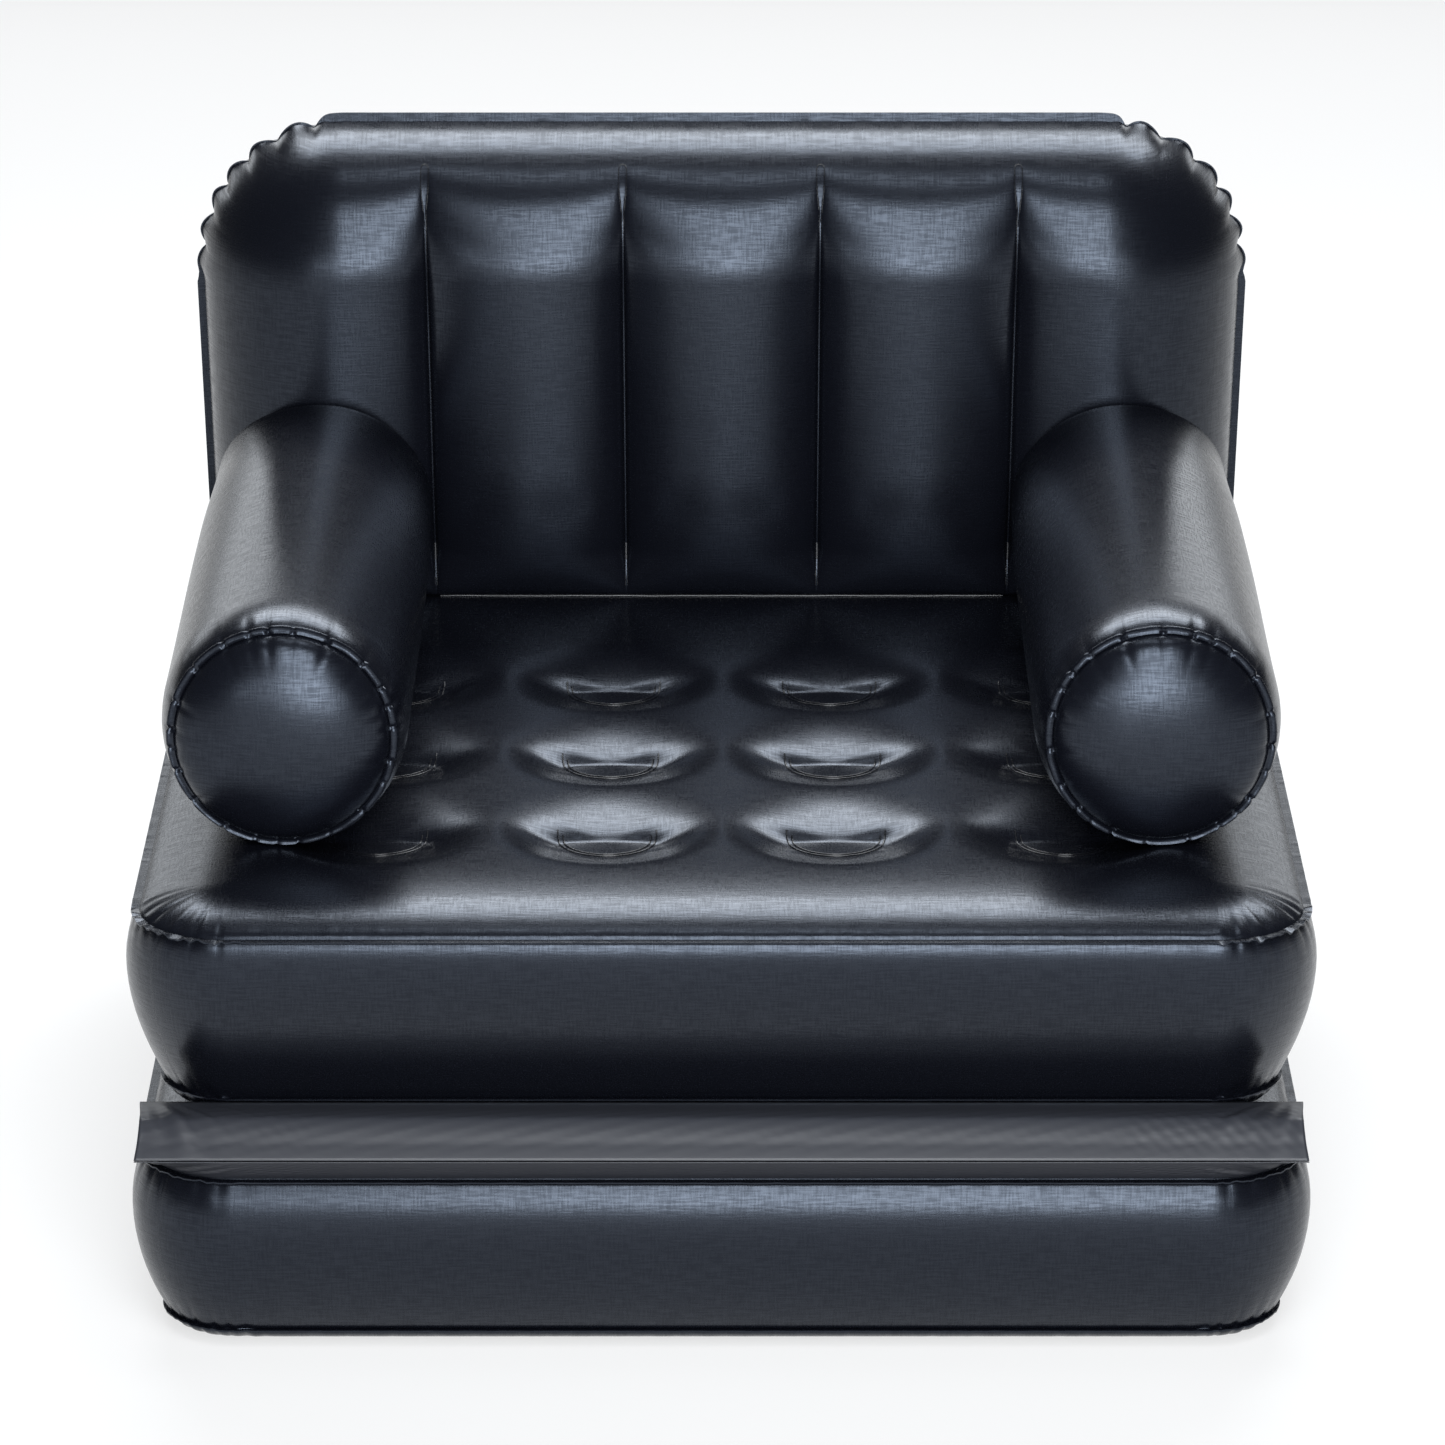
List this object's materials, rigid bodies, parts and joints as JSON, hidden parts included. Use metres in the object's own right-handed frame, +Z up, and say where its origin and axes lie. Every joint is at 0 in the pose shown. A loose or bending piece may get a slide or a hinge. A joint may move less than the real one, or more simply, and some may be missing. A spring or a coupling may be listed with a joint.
{
  "type": "inflatable fold-out chair",
  "caption": "Inflatable armchair of black vinyl film: a tufted seat leaf with a ribbed backrest and bolster arms, folded over a second leaf that swings out into a bed.",
  "frame": {"origin": "on the floor under the middle of the whole chair", "axes": "+Z up, +X to the right seen from the front, the front faces -Y"},
  "size_m": [0.9714, 1.002, 0.8186],
  "materials": {
    "vinyl": "satin black vinyl film with a fine woven emboss",
    "inner_film": "plain black vinyl film",
    "valve_plastic": "moulded soft plastic",
    "flap_rubber": "thin soft rubber"
  },
  "bodies": {
    "seat": {"back_valve_body": "valve_plastic", "backrest_front_sheet": "vinyl", "backrest_rear_sheet": "vinyl", "backrest_web_1": "inner_film", "backrest_web_2": "inner_film", "backrest_web_3": "inner_film", "backrest_web_4": "inner_film", "hinge_web_upper": "vinyl", "left_arm_barrel": "vinyl", "left_arm_front_cap": "vinyl", "left_arm_rear_cap": "vinyl", "right_arm_barrel": "vinyl", "right_arm_front_cap": "vinyl", "right_arm_rear_cap": "vinyl", "seat_bottom_sheet": "vinyl", "seat_coil_beam_01": "inner_film", "seat_coil_beam_02": "inner_film", "seat_coil_beam_03": "inner_film", "seat_coil_beam_04": "inner_film", "seat_coil_beam_05": "inner_film", "seat_coil_beam_06": "inner_film", "seat_coil_beam_07": "inner_film", "seat_coil_beam_08": "inner_film", "seat_coil_beam_09": "inner_film", "seat_coil_beam_10": "inner_film", "seat_coil_beam_11": "inner_film", "seat_coil_beam_12": "inner_film", "seat_side_wall": "vinyl", "seat_top_sheet": "vinyl", "seat_valve_body": "valve_plastic"},
    "base": {"base_bottom_sheet": "vinyl", "base_coil_beam_01": "inner_film", "base_coil_beam_02": "inner_film", "base_coil_beam_03": "inner_film", "base_coil_beam_04": "inner_film", "base_coil_beam_05": "inner_film", "base_coil_beam_06": "inner_film", "base_coil_beam_07": "inner_film", "base_coil_beam_08": "inner_film", "base_coil_beam_09": "inner_film", "base_coil_beam_10": "inner_film", "base_coil_beam_11": "inner_film", "base_coil_beam_12": "inner_film", "base_side_wall": "vinyl", "base_top_sheet": "vinyl", "base_valve_body": "valve_plastic", "hinge_web_lower": "vinyl"},
    "seat_plug": {"seat_valve_plug": "valve_plastic"},
    "seat_flap": {"seat_valve_flap": "flap_rubber"},
    "base_plug": {"base_valve_plug": "valve_plastic"},
    "base_flap": {"base_valve_flap": "flap_rubber"},
    "back_plug": {"back_valve_plug": "valve_plastic"},
    "back_flap": {"back_valve_flap": "flap_rubber"}
  },
  "joints": [
    {"name": "leaf_fold", "type": "hinge", "parent": "seat", "child": "base", "pos_m": [0, -0.50112, 0.18115], "axis": [-1, 0, 0], "range_deg": [0, 180]},
    {"name": "seat_plug_swing", "type": "hinge", "parent": "seat", "child": "seat_plug", "pos_m": [0.345, 0.49518, 0.2688], "axis": [-1, 0, 0], "range_deg": [0, 110]},
    {"name": "seat_flap_swing", "type": "hinge", "parent": "seat", "child": "seat_flap", "pos_m": [0.345, 0.48137, 0.29505], "axis": [-1, 0, 0], "range_deg": [0, 40]},
    {"name": "base_plug_swing", "type": "hinge", "parent": "base", "child": "base_plug", "pos_m": [0.345, 0.49518, 0.071], "axis": [-1, 0, 0], "range_deg": [0, 110]},
    {"name": "base_flap_swing", "type": "hinge", "parent": "base", "child": "base_flap", "pos_m": [0.345, 0.48137, 0.09725], "axis": [-1, 0, 0], "range_deg": [0, 40]},
    {"name": "back_plug_swing", "type": "hinge", "parent": "seat", "child": "back_plug", "pos_m": [0.345, 0.47749, 0.4831], "axis": [-1, 0, 0], "range_deg": [0, 110]},
    {"name": "back_flap_swing", "type": "hinge", "parent": "seat", "child": "back_flap", "pos_m": [0.345, 0.46369, 0.50935], "axis": [-1, 0, 0], "range_deg": [0, 40]}
  ]
}
